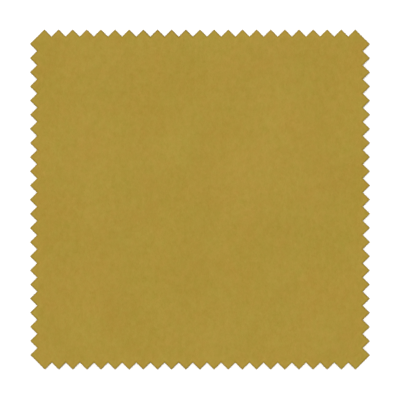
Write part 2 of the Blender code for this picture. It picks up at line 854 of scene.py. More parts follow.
class Nodes:
    """Builds a node tree, of a material or of a group, a node at a time."""

    def __init__(self, tree: bpy.types.NodeTree) -> None:
        """Start on a tree."""
        self.tree = tree

    @classmethod
    def group(
        cls, name: str, inputs: dict[str, float], outputs: tuple[str, ...]
    ) -> tuple["Nodes", bpy.types.Node, bpy.types.Node]:
        """Start a shader node group of plain numbers.

        Args:
            name: the group's name.
            inputs: name of each input, with its usual value.
            outputs: name of each output.

        Returns:
            The builder and the group's input and output nodes.
        """
        tree = bpy.data.node_groups.new(name, "ShaderNodeTree")
        number = "NodeSocketFloat"
        for socket_name, value in inputs.items():
            socket = tree.interface.new_socket(socket_name, in_out="INPUT", socket_type=number)
            socket.default_value = value
        for socket_name in outputs:
            tree.interface.new_socket(socket_name, in_out="OUTPUT", socket_type=number)
        nodes = cls(tree)
        return nodes, nodes.add("NodeGroupInput"), nodes.add("NodeGroupOutput")

    def add(
        self, kind: str, inputs: dict[str | int, NodeValue] | None = None, **settings: object
    ) -> bpy.types.Node:
        """Add a node.

        Args:
            kind: the node's type.
            inputs: a value or an output socket for each named or numbered input.
            settings: properties of the node.

        Returns:
            The node.
        """
        node = self.tree.nodes.new(kind)
        for key, value in settings.items():
            setattr(node, key, value)
        for key, value in (inputs or {}).items():
            if isinstance(value, bpy.types.NodeSocket):
                self.tree.links.new(value, node.inputs[key])
            else:
                node.inputs[key].default_value = value
        return node

    def link(self, output: bpy.types.NodeSocket, node: bpy.types.Node, name: str) -> None:
        """Link an output to a node's named input."""
        self.tree.links.new(output, node.inputs[name])

    def maths(self, operation: str, *values: NodeValue) -> bpy.types.NodeSocket:
        """Add a maths node on values or sockets and return its output."""
        inputs = dict(enumerate(values))
        return self.add("ShaderNodeMath", inputs, operation=operation).outputs[0]

    def vector(self, operation: str, *values: NodeValue) -> bpy.types.Node:
        """Add a vector maths node on values or sockets."""
        return self.add("ShaderNodeVectorMath", dict(enumerate(values)), operation=operation)

    def stretched(self, vector: NodeValue, scale: tuple[float, ...]) -> bpy.types.NodeSocket:
        """Scale a place along the axes and return it."""
        return self.add("ShaderNodeMapping", {"Vector": vector, "Scale": scale}).outputs[0]

    def mix(self, share: NodeValue, first: NodeValue, second: NodeValue) -> bpy.types.NodeSocket:
        """Mix two colours by a share and return the colour."""
        inputs = {0: share, 6: first, 7: second}
        return self.add("ShaderNodeMix", inputs, data_type="RGBA").outputs[2]

    def ramp(self, value: NodeValue, between: Range, to: Range) -> bpy.types.NodeSocket:
        """Map a value from one range to another, held at its ends, and return it."""
        inputs = {"Value": value, 1: between[0], 2: between[1], 3: to[0], 4: to[1]}
        return self.add("ShaderNodeMapRange", inputs).outputs[0]

    def noise(
        self, vector: NodeValue, scale: float, detail: float, seed: float, rough: float = 0.5
    ) -> bpy.types.NodeSocket:
        """Add a noise texture.

        Args:
            vector: place on the surface.
            scale: patches for a metre.
            detail: how many times it is repeated at half the size.
            seed: the noise's fourth coordinate.
            rough: strength of each repeat, as a share of the one before.

        Returns:
            Its value, about 0.5.
        """
        inputs = {
            "Vector": vector, "Scale": scale, "Detail": detail, "Roughness": rough, "W": seed
        }
        return self.add("ShaderNodeTexNoise", inputs, noise_dimensions="4D").outputs[0]

    def stored(self, name: str) -> bpy.types.NodeSocket:
        """Read a value that the mesh stores for each point."""
        return self.add("ShaderNodeAttribute", attribute_name=name).outputs["Fac"]


@dataclass(frozen=True)
class NapBand:
    """One size of unevenness in the nap.

    Attributes:
        name: its name as an input of the group.
        scale: patches for a metre.
        detail: how many times it is repeated at half the size.
        seed: seed of its noise.
        relief: height of its relief, in metres.
        strands: whether it is drawn out into strands.
    """

    name: str
    scale: float
    detail: float
    seed: float
    relief: float
    strands: bool = False


BRUSHED = (1.0, 0.75, 1.0)  # patches are longer along the nap than across it
STRANDS = (1.0, 0.25, 1.0)  # and strands are longer still
STRAND_BEND = 12 * MM  # how far to the side the strands bend
NAP_BANDS = (
    NapBand("Patches", 30.0, 1.0, 1.0, 2.5 * MM),
    NapBand("Strokes", 75.0, 0.0, 3.0, 0.5 * MM),
    NapBand("Clumps", 620.0, 1.0, 5.0, 0.15 * MM),
    NapBand("Tips", 1300.0, 1.0, 9.0, 0.08 * MM),
    NapBand("Fibres", 6500.0, 2.0, 17.0, 0.09 * MM, strands=True),
)


def nap_group() -> bpy.types.NodeTree:
    """Brushed nap: soft patches where the pile leans another way, and the grain of its tips.

    Returns:
        The node group. Its "Lit" output is about 0.5, and higher where the tips catch more
        light, "Warmth" is about 0.5 and turns the hue, and "Height" is the nap's relief.
    """
    nodes, given, out = Nodes.group(
        "brushed_nap", {band.name: 0.5 for band in NAP_BANDS}, ("Lit", "Warmth", "Height")
    )
    place = nodes.add("ShaderNodeTexCoord").outputs["Object"]
    brushed = nodes.stretched(place, BRUSHED)
    bend = nodes.maths("SUBTRACT", nodes.noise(place, scale=60.0, detail=0.0, seed=19.0), 0.5)
    aside = nodes.add("ShaderNodeCombineXYZ", {"X": nodes.maths("MULTIPLY", bend, STRAND_BEND)})
    turned = nodes.vector("ADD", place, aside.outputs[0])
    strands = nodes.stretched(turned.outputs[0], STRANDS)
    lit, height = 0.5, 0.0
    for band in NAP_BANDS:
        where = strands if band.strands else brushed
        value = nodes.noise(where, band.scale, band.detail, band.seed)
        above = nodes.maths("SUBTRACT", value, 0.5)
        lit = nodes.maths("MULTIPLY_ADD", above, given.outputs[band.name], lit)
        height = nodes.maths("MULTIPLY_ADD", above, band.relief, height)
    nodes.link(lit, out, "Lit")
    warmth = nodes.noise(place, scale=55.0, detail=5.0, seed=13.0, rough=1.0)
    nodes.link(warmth, out, "Warmth")
    nodes.link(height, out, "Height")
    return nodes.tree


def weave_group(yarn_pitch: float) -> bpy.types.NodeTree:
    """Plain weave: crowns of warp and weft by turns, with the gaps between the yarns.

    Args:
        yarn_pitch: from one yarn to the next, in metres.

    Returns:
        The node group. "Crown" is 1 on a crown and 0 in a gap, "Warp Up" is 1 where the warp
        is on top, "Height" is the relief, and "Yarn" and "Patch" are about 0.5 and vary from
        yarn to yarn and over the cloth.
    """
    nodes, given, out = Nodes.group(
        "plain_weave", {"Unevenness": 0.1}, ("Crown", "Warp Up", "Height", "Yarn", "Patch")
    )
    place = nodes.add("ShaderNodeTexCoord").outputs["Object"]
    axes = nodes.add("ShaderNodeSeparateXYZ", {0: place})
    wander = nodes.maths("SUBTRACT", nodes.noise(place, scale=260.0, detail=1.0, seed=0.0), 0.5)
    wander = nodes.maths("MULTIPLY", wander, given.outputs["Unevenness"])
    waves = []
    for axis in ("X", "Y"):
        turns = nodes.maths("DIVIDE", axes.outputs[axis], yarn_pitch)
        angle = nodes.maths("MULTIPLY", nodes.maths("ADD", turns, wander), math.pi)
        waves.append(nodes.maths("COSINE", angle))
    weave = nodes.maths("MULTIPLY", *waves)
    crown = nodes.maths("POWER", nodes.maths("ABSOLUTE", weave), 0.6)
    fuzz = nodes.noise(place, scale=3000.0, detail=2.0, seed=4.0)
    warp_up = nodes.maths("GREATER_THAN", weave, 0.0)
    slubs = []
    for lengthways in ((0.04, 1.0, 1.0), (1.0, 0.04, 1.0)):
        drawn_out = nodes.stretched(place, lengthways)
        slubs.append(nodes.noise(drawn_out, scale=0.8 / yarn_pitch, detail=1.0, seed=21.0))
    yarn = nodes.add("ShaderNodeMix", {0: warp_up, 2: slubs[0], 3: slubs[1]}).outputs[0]
    nodes.link(crown, out, "Crown")
    nodes.link(warp_up, out, "Warp Up")
    nodes.link(yarn, out, "Yarn")
    patch = nodes.noise(place, scale=130.0, detail=4.0, seed=27.0, rough=0.65)
    nodes.link(patch, out, "Patch")
    nodes.link(nodes.maths("MULTIPLY_ADD", fuzz, 0.25, crown), out, "Height")
    return nodes.tree


@dataclass(frozen=True)
class Colour:
    """A linear colour.

    Attributes:
        red: its red part.
        green: its green part.
        blue: its blue part.
    """

    red: float
    green: float
    blue: float

    def times(self, share: float) -> "Colour":
        """The colour made darker or lighter."""
        return self.tinted(share, share, share)

    def tinted(self, red: float, green: float, blue: float) -> "Colour":
        """The colour with each part made darker or lighter."""
        return Colour(self.red * red, self.green * green, self.blue * blue)

    def rgba(self) -> tuple[float, float, float, float]:
        """The colour as a node takes it."""
        return (self.red, self.green, self.blue, 1.0)


def new_material(name: str) -> tuple[bpy.types.Material, Nodes, bpy.types.Node]:
    """Make a material.

    Args:
        name: the material's name.

    Returns:
        The material, its node builder and its Principled node.
    """
    material = bpy.data.materials.new(name)
    material.use_nodes = True
    nodes = Nodes(material.node_tree)
    return material, nodes, material.node_tree.nodes["Principled BSDF"]


@dataclass(frozen=True)
class PileFinish:
    """Velvet pile: matt tips, a soft sheen at a low angle, and painted shade down at the roots.

    Attributes:
        name: the material's name.
        colour: mean colour of the pile.
        patches: strength of the patches that the hand leaves.
        strokes: strength of the brush strokes.
        clumps: strength of the clumps of tufts.
        tips: strength of the tips' grain.
        fibres: strength of the single fibres' ends.
        contrast: painted light and shade: how much lighter a fully lit tip is than the mean, and a
            shaded one darker.
        bleach: how many times as much its blue changes, since the light off a tip is paler.
        hue: how far its hue wanders, to the redder side and to the greener.
        sheen: strength of the sheen.
        root: how dark a fibre is at its root: painted shade, down in the pile.
        cut_line: painted shade: a darker, more saturated tint of the line along the cut, where the
            pile leans open.
        cut_lip: painted highlight: how light the raised nap beside that line is.
        relief: how strongly the nap's relief shows.
        line: where the painted shade line's tint starts to fade and is gone, in from the cut.
        lip_start: where the lip's painted highlight starts and is at its lightest, in from the cut.
        lip_end: where the lip's painted highlight starts to fade and is gone, in from the cut.
        roughness: roughness of a tip that leans away from the light.
        polish: how much smoother a lit tip is.
        specular: strength of the fibres' shine.
        sheen_roughness: roughness of the sheen.
        sheen_tint: colour of the sheen.
    """

    name: str
    colour: Colour
    patches: float = 0.62
    strokes: float = 0.36
    clumps: float = 0.95
    tips: float = 0.75
    fibres: float = 1.2
    contrast: float = 0.08
    bleach: float = 3.0
    hue: float = 0.13
    sheen: float = 1.0
    root: float = 0.55
    cut_line: Colour = Colour(0.935, 0.92, 0.58)
    cut_lip: float = 1.035
    relief: float = 1.0
    line: Range = (0.20 * MM, 0.50 * MM)
    lip_start: Range = (0.25 * MM, 0.50 * MM)
    lip_end: Range = (0.70 * MM, 1.1 * MM)
    roughness: float = 0.96
    polish: float = 0.12
    specular: float = 0.2
    sheen_roughness: float = 0.45
    sheen_tint: Colour = Colour(1.0, 0.86, 0.52)

    def build(self, nap: bpy.types.NodeTree) -> bpy.types.Material:
        """Build the material.

        Args:
            nap: the nap's node group.

        Returns:
            The material.
        """
        material, nodes, shader = new_material(self.name)
        look = nodes.add("ShaderNodeGroup", node_tree=nap)
        for band in NAP_BANDS:
            look.inputs[band.name].default_value = getattr(self, band.name.lower())
        # Painted light and shade: the nap's noise mixes a lighter, paler copy of the pile colour, for
        # tips that catch the light, with a darker, deeper copy.
        up, down = 1 + self.contrast, 1 - self.contrast
        pale, deep = 1 + self.bleach * self.contrast, 1 - self.bleach * self.contrast
        tip = nodes.mix(
            look.outputs["Lit"],
            self.colour.tinted(down, down, deep).rgba(),
            self.colour.tinted(up, up, pale).rgba(),
        )
        cool, warm = (Colour(1 - turn, 1 + turn, 1.0).rgba() for turn in (self.hue, -self.hue))
        hue = nodes.mix(look.outputs["Warmth"], cool, warm)
        tinted = nodes.vector("MULTIPLY", tip, hue)
        # Painted shade: a darker line along the cut.
        cut_shaded = nodes.vector("MULTIPLY", tinted.outputs[0], self.painted_cut_shade(nodes))
        colour = nodes.vector("SCALE", cut_shaded.outputs[0])
        nodes.link(self.depth_shade(nodes), colour, "Scale")
        nodes.link(colour.outputs[0], shader, "Base Color")
        rough = nodes.maths("MULTIPLY_ADD", look.outputs["Lit"], -self.polish, self.roughness)
        nodes.link(rough, shader, "Roughness")
        inputs = {"Height": look.outputs["Height"], "Distance": self.relief}
        nodes.link(nodes.add("ShaderNodeBump", inputs).outputs[0], shader, "Normal")
        shader.inputs["Specular IOR Level"].default_value = self.specular
        shader.inputs["Sheen Weight"].default_value = self.sheen
        shader.inputs["Sheen Roughness"].default_value = self.sheen_roughness
        shader.inputs["Sheen Tint"].default_value = self.sheen_tint.rgba()
        return material

    def depth_shade(self, nodes: Nodes) -> bpy.types.NodeSocket:
        """Painted shade from how far down the pile a point is, and painted highlight beside the cut.

        Args:
            nodes: builder of the material's tree.

        Returns:
            The factor for the colour.
        """
        from_cut = nodes.stored("from_cut")
        # Painted shade: darker towards the roots, down in the pile.
        rooted = nodes.ramp(nodes.stored("along"), (0.0, 1.0), (self.root, 1.0))
        # Painted highlight: a lighter band on the raised nap just in from the cut.
        rise = nodes.ramp(from_cut, self.lip_start, (1.0, self.cut_lip))
        fall = nodes.ramp(from_cut, self.lip_end, (1.0, 1 / self.cut_lip))
        return nodes.maths("MULTIPLY", rooted, nodes.maths("MULTIPLY", rise, fall))

    def painted_cut_shade(self, nodes: Nodes) -> bpy.types.NodeSocket:
        """Paint shade along the cut as a darker, more saturated line, and nothing further in.

        Args:
            nodes: builder of the material's tree.

        Returns:
            The tint.
        """
        share = nodes.ramp(nodes.stored("from_cut"), self.line, (0.0, 1.0))
        return nodes.mix(share, self.cut_line.rgba(), (1.0, 1.0, 1.0, 1.0))


@dataclass(frozen=True)
class WeaveFinish:
    """Spun yarn in a plain weave, bare or seen through a film.

    Attributes:
        name: the material's name.
        warp: colour of the warp's crowns.
        weft: colour of the weft's crowns.
        gap: colour between the yarns; where darker than the crowns, it is painted shade there.
        roughness: mean roughness; the crowns are smoother and the patches vary it.
        bump: height of the weave in the shading, in metres.
        uneven: how much lighter and darker the yarns and patches are.
        wander: how far the yarns wander, as a share of their pitch.
        spread: the yarns' and patches' usual sum, at its least and its most.
        polish: how much smoother a crown is than a gap.
        worn: how much the patches vary the roughness.
        specular: strength of the yarn's shine.
    """

    name: str
    warp: Colour
    weft: Colour
    gap: Colour
    roughness: float
    bump: float
    uneven: float = 0.12
    wander: float = 0.25
    spread: Range = (0.7, 1.3)
    polish: float = 0.1
    worn: float = 0.2
    specular: float = 0.3

    def build(self, weave: bpy.types.NodeTree) -> bpy.types.Material:
        """Build the material.

        Args:
            weave: the weave's node group.

        Returns:
            The material.
        """
        material, nodes, shader = new_material(self.name)
        look = nodes.add("ShaderNodeGroup", node_tree=weave)
        look.inputs["Unevenness"].default_value = self.wander
        yarn = nodes.mix(look.outputs["Warp Up"], self.weft.rgba(), self.warp.rgba())
        # Painted shade between the bare yarns, where the gap colour is darker than the crowns.
        colour = nodes.mix(look.outputs["Crown"], self.gap.rgba(), yarn)
        uneven = nodes.maths("ADD", look.outputs["Yarn"], look.outputs["Patch"])
        shade = nodes.ramp(uneven, self.spread, (1 - self.uneven, 1 + self.uneven))
        shaded = nodes.vector("SCALE", colour)
        nodes.link(shade, shaded, "Scale")
        nodes.link(shaded.outputs[0], shader, "Base Color")
        rough = nodes.maths("MULTIPLY_ADD", look.outputs["Crown"], -self.polish, self.roughness)
        rough = nodes.maths("MULTIPLY_ADD", look.outputs["Patch"], self.worn, rough)
        nodes.link(rough, shader, "Roughness")
        inputs = {"Height": look.outputs["Height"], "Distance": self.bump}
        nodes.link(nodes.add("ShaderNodeBump", inputs).outputs[0], shader, "Normal")
        shader.inputs["Specular IOR Level"].default_value = self.specular
        return material


# ---------------------------------------------------------------------------
# The sample
# ---------------------------------------------------------------------------


@dataclass
class Pile:
    """The velvet's face: a brushed pile, open and splayed along the cut.

    Attributes:
        lattice: points of its top.
        root: height of its roots above the cloth's back.
        top: height of its tips.
        shoulder: how far the tips round over at the cut.
        brush: height of the brush marks.
        clump: height of the clumps of tufts.
        tip: height of the tips' own unevenness.
        splay: how far the pile's wall bulges below its tips.
        overhang: how far the pile's tips lean out over the cut.
        brush_size: width and length of a brush mark.
        clump_size: width and length of a clump.
        tip_size: width and length of the tips' unevenness.
        loosened: how far in from the cut the pile is loosened.
        rounding: share of the shoulder's full round that the tips take.
        wall: rows of the wall, as (share of the way down, share of the splay).
        raggedness: least and most share of the splay from point to point.
        seed: seed of its unevenness.
    """

    lattice: Lattice
    root: float
    top: float
    shoulder: float = 0.20 * MM
    brush: float = 0.17 * MM
    clump: float = 0.028 * MM
    tip: float = 0.010 * MM
    splay: float = -0.03 * MM
    overhang: float = 0.055 * MM
    brush_size: Range = (9 * MM, 15 * MM)
    clump_size: Range = (1.5 * MM, 2.2 * MM)
    tip_size: Range = (0.4 * MM, 0.5 * MM)
    loosened: float = 0.9 * MM
    rounding: float = 0.8
    wall: tuple[Range, ...] = ((0.3, 1.0), (0.6, 0.8), (0.85, 0.1))
    raggedness: Range = (0.4, 1.2)
    seed: int = 11

    def height(self) -> np.ndarray:
        """Raise the brush marks, clumps and tips, and round the shoulder at the cut.

        Returns:
            Height of the tips at the lattice's points.
        """
        rng = np.random.default_rng(self.seed)
        depth = self.lattice.depth()
        brush = self.lattice.random_field(rng, *self.brush_size)
        clump = self.lattice.random_field(rng, *self.clump_size)
        tip = self.lattice.random_field(rng, *self.tip_size)
        loosened = 1 + np.exp(-((depth / self.loosened) ** 2))
        relief = self.brush * brush + loosened * (self.clump * clump + self.tip * tip)
        over = np.clip(1 - depth / self.shoulder, 0, 1)
        rounded = self.shoulder * (1 - np.sqrt(1 - over**2))
        return self.top + relief - self.rounding * rounded

    def build(self, lay: Lay, material: bpy.types.Material) -> bpy.types.Object:
        """Build and dress the pile.

        Args:
            lay: how the cloth lies.
            material: its finish.

        Returns:
            The pile's object.
        """
        rng = np.random.default_rng(self.seed + 1)
        rim = len(self.lattice.rim())
        rows = [
            (share, self.splay * out * rng.uniform(*self.raggedness, rim))
            for share, out in self.wall
        ]
        layer = ClothLayer(
            "velvet_pile",
            self.lattice,
            self.height(),
            self.root,
            FineFace.TOP,
            rows,
            inset=-self.overhang,
        )
        piece = layer.build(lay)
        piece.data.materials.append(material)
        return piece


@dataclass
class EdgeTufts:
    """Tufts along the cut, which lean out over it because nothing stands beside them.

    Attributes:
        lattice: lattice whose rim they stand on.
        root: height of their roots above the cloth's back.
        top: height of the pile's tips.
        per_step: fibres for each step of the rim.
        width: width of a fibre at its root.
        longest: length of the longest fibre.
        lean: how far they lean out, as a share of their length.
        uneven_lean: how much that differs from fibre to fibre.
        sway: how far they lean any other way, as a share of their length.
        highest: how far up the pile the highest of them starts.
        inset: least and most that their roots stand in from the cut.
        headroom: how far up the pile the longest may reach.
        shortest: length of the shortest, as a share of the longest there is room for.
        tilt: how far their broad faces look up.
        seed: seed of their lean.
    """

    lattice: Lattice
    root: float
    top: float
    per_step: int = 42
    width: float = 0.05 * MM
    longest: float = 0.8 * MM
    lean: float = 0.10
    uneven_lean: float = 0.06
    sway: float = 0.12
    highest: float = 0.85
    inset: Range = (-0.04 * MM, 0.02 * MM)
    headroom: float = 0.95
    shortest: float = 0.5
    tilt: float = 0.3
    seed: int = 23

    def build(self, lay: Lay, material: bpy.types.Material) -> bpy.types.Object:
        """Build and dress the tufts.

        Args:
            lay: how the cloth lies.
            material: their finish.

        Returns:
            The tufts' object.
        """
        rng = np.random.default_rng(self.seed)
        loop = self.lattice.flat()[self.lattice.rim()]
        out = outward(loop)
        start = np.repeat(np.arange(len(loop)), self.per_step)
        share = rng.uniform(0, 1, len(start))[:, None]
        ends = (start + 1) % len(loop)
        place = loop[start] * (1 - share) + loop[ends] * share
        leaning = unit(out[start] * (1 - share) + out[ends] * share)
        count = len(place)
        tall = self.top - self.root
        level = rng.uniform(0, self.highest, count)
        inset = rng.uniform(*self.inset, count)
        roots = np.column_stack([place - leaning * inset[:, None], self.root + level * tall])
        lean = rng.normal(self.lean, self.uneven_lean, count)[:, None]
        sway = rng.normal(0, self.sway, (count, 2))
        ways = unit(np.column_stack([leaning * lean + sway, np.ones(count)]))
        room = (self.headroom - level) * tall
        lengths = np.minimum(room, self.longest) * rng.uniform(self.shortest, 1.0, count)
        widths = self.width * rng.uniform(*FIBRE_GIRTHS, count)
        along = (level, level + lengths / tall)
        faces = np.column_stack([leaning, np.full(count, self.tilt)])
        tufts = Fibres(roots, ways, faces, lengths, widths, along, np.zeros(count))
        piece = tufts.build("edge_tufts", lay)
        piece.data.materials.append(material)
        return piece


@dataclass
class BrushedNap:
    """Tips of the pile that lie along the nap, the way that the hand brushed them.

    Attributes:
        lattice: lattice of the pile's top.
        heights: height of the pile at the lattice's points.
        count: how many there are.
        width: width of a fibre at its root.
        rise: the most that a tip stands above the pile.
        turn: how far the brushing turns them aside, in radians.
        stray: how far each strays from its neighbours' way, as a share of that.
        brush_size: width and length of a patch that was brushed one way.
        from_cut: how far in from the cut they start.
        sunk: how far their roots are sunk in the pile.
        lengths: least and most length of a fibre.
        lowest_rise: least rise, as a share of the most.
        rooted: how far up the pile their roots count as, for the finish.
        seed: seed of their places.
    """

    lattice: Lattice
    heights: np.ndarray
    count: int = 46000
    width: float = 0.05 * MM
    rise: float = 0.025 * MM
    turn: float = 0.45
    stray: float = 0.8
    brush_size: Range = (9 * MM, 14 * MM)
    from_cut: float = 0.2 * MM
    sunk: float = 0.005 * MM
    lengths: Range = (0.35 * MM, 0.85 * MM)
    lowest_rise: float = 0.2
    rooted: float = 0.8
    seed: int = 31

    def build(self, lay: Lay, material: bpy.types.Material) -> bpy.types.Object:
        """Build and dress the nap.

        Args:
            lay: how the cloth lies.
            material: its finish.

        Returns:
            The nap's object.
        """
        rng = np.random.default_rng(self.seed)
        depth = self.lattice.depth()
        brushed = self.lattice.random_field(rng, *self.brush_size)
        inner = np.flatnonzero(depth > self.from_cut)
        chosen = rng.choice(inner, self.count, replace=False)
        aside = rng.uniform(-0.5, 0.5, (self.count, 2)) * self.lattice.spacing
        flat = self.lattice.flat()[chosen] + aside
        roots = np.column_stack([flat, self.heights[chosen] - self.sunk])
        angle = self.turn * (brushed[chosen] + self.stray * rng.standard_normal(self.count))
        rise = self.rise * rng.uniform(self.lowest_rise, 1.0, self.count)
        lengths = rng.uniform(*self.lengths, self.count)
        lengths = np.minimum(lengths, depth[chosen])
        level = np.stack([np.sin(angle), np.cos(angle)], 1)
        ends = self.surface_at(flat + lengths[:, None] * level, roots[:, 2]) + rise
        ways = unit(np.column_stack([level, (ends - roots[:, 2]) / lengths]))
        widths = self.width * rng.uniform(*FIBRE_GIRTHS, self.count)
        along = (np.full(self.count, self.rooted), np.ones(self.count))
        faces = np.tile([0.0, 0.0, 1.0], (self.count, 1))
        fibres = Fibres(roots, ways, faces, lengths, widths, along, depth[chosen])
        piece = fibres.build("brushed_nap", lay)
        piece.data.materials.append(material)
        return piece

    def surface_at(self, flat: np.ndarray, fallback: np.ndarray) -> np.ndarray:
        """Height of the pile at the lattice points nearest to flat x, y places.

        Args:
            flat: the places.
            fallback: height for each place that is off the cloth.

        Returns:
            The heights.
        """
        nearest = np.round((flat - self.lattice.cut.low) / self.lattice.spacing).astype(int)
        nearest = np.clip(nearest, 0, np.array(self.lattice.cells))
        number = self.lattice.number[tuple(nearest.T)]
        return np.where(number >= 0, self.heights[number], fallback)


@dataclass
class GroundCloth:
    """The plain weave that holds the tufts.

    Attributes:
        lattice: points of its top.
        back: height of its back above the coating.
        top: height of its top.
        crown: how far a yarn's crown stands out of the weave.
        inset: how far its cut lies inside the pile's.
        wall: rows of its cut edge, as shares of the way down.
    """

    lattice: Lattice
    back: float
    top: float
    crown: float = 0.05 * MM
    inset: float = 0.15 * MM
    wall: Range = (0.15, 0.85)

    def build(self, lay: Lay, material: bpy.types.Material) -> bpy.types.Object:
        """Build and dress the ground cloth.

        Args:
            lay: how the cloth lies.
            material: its finish.

        Returns:
            The ground cloth's object.
        """
        height = self.top + self.crown * weave_relief(self.lattice)
        rows = [(share, np.zeros(len(self.lattice.rim()))) for share in self.wall]
        layer = ClothLayer(
            "ground_weave", self.lattice, height, self.back, FineFace.TOP, rows, self.inset
        )
        piece = layer.build(lay)
        piece.data.materials.append(material)
        return piece


@dataclass
class CoatedBack:
    """The thin film on the back, with the weave's crowns showing through it.

    Attributes:
        lattice: points of its underside.
        top: height of the face that is bonded to the ground cloth.
        crown: how far the weave shows through.
        inset: how far its cut lies inside the pile's.
    """

    lattice: Lattice
    top: float
    crown: float = 0.035 * MM
    inset: float = 0.07 * MM

    def build(self, lay: Lay, material: bpy.types.Material) -> bpy.types.Object:
        """Build and dress the coated back.

        Args:
            lay: how the cloth lies.
            material: its finish.

        Returns:
            The coated back's object.
        """
        height = self.crown * (1 - weave_relief(self.lattice))
        rows = [(0.5, np.zeros(len(self.lattice.rim())))]
        layer = ClothLayer(
            "coated_back", self.lattice, height, self.top, FineFace.BACK, rows, self.inset
        )
        piece = layer.build(lay)
        piece.data.materials.append(material)
        return piece


def weave_relief(lattice: Lattice) -> np.ndarray:
    """Find the crowns of a plain weave.

    Args:
        lattice: points of the layer.

    Returns:
        For each point, 1 on a crown of the warp, -1 on one of the weft, and between them.
    """
    yarn = 2 * lattice.steps / YARNS_IN_TOOTH
    waves = np.cos(math.pi * lattice.place / yarn)
    return waves[:, 0] * waves[:, 1]


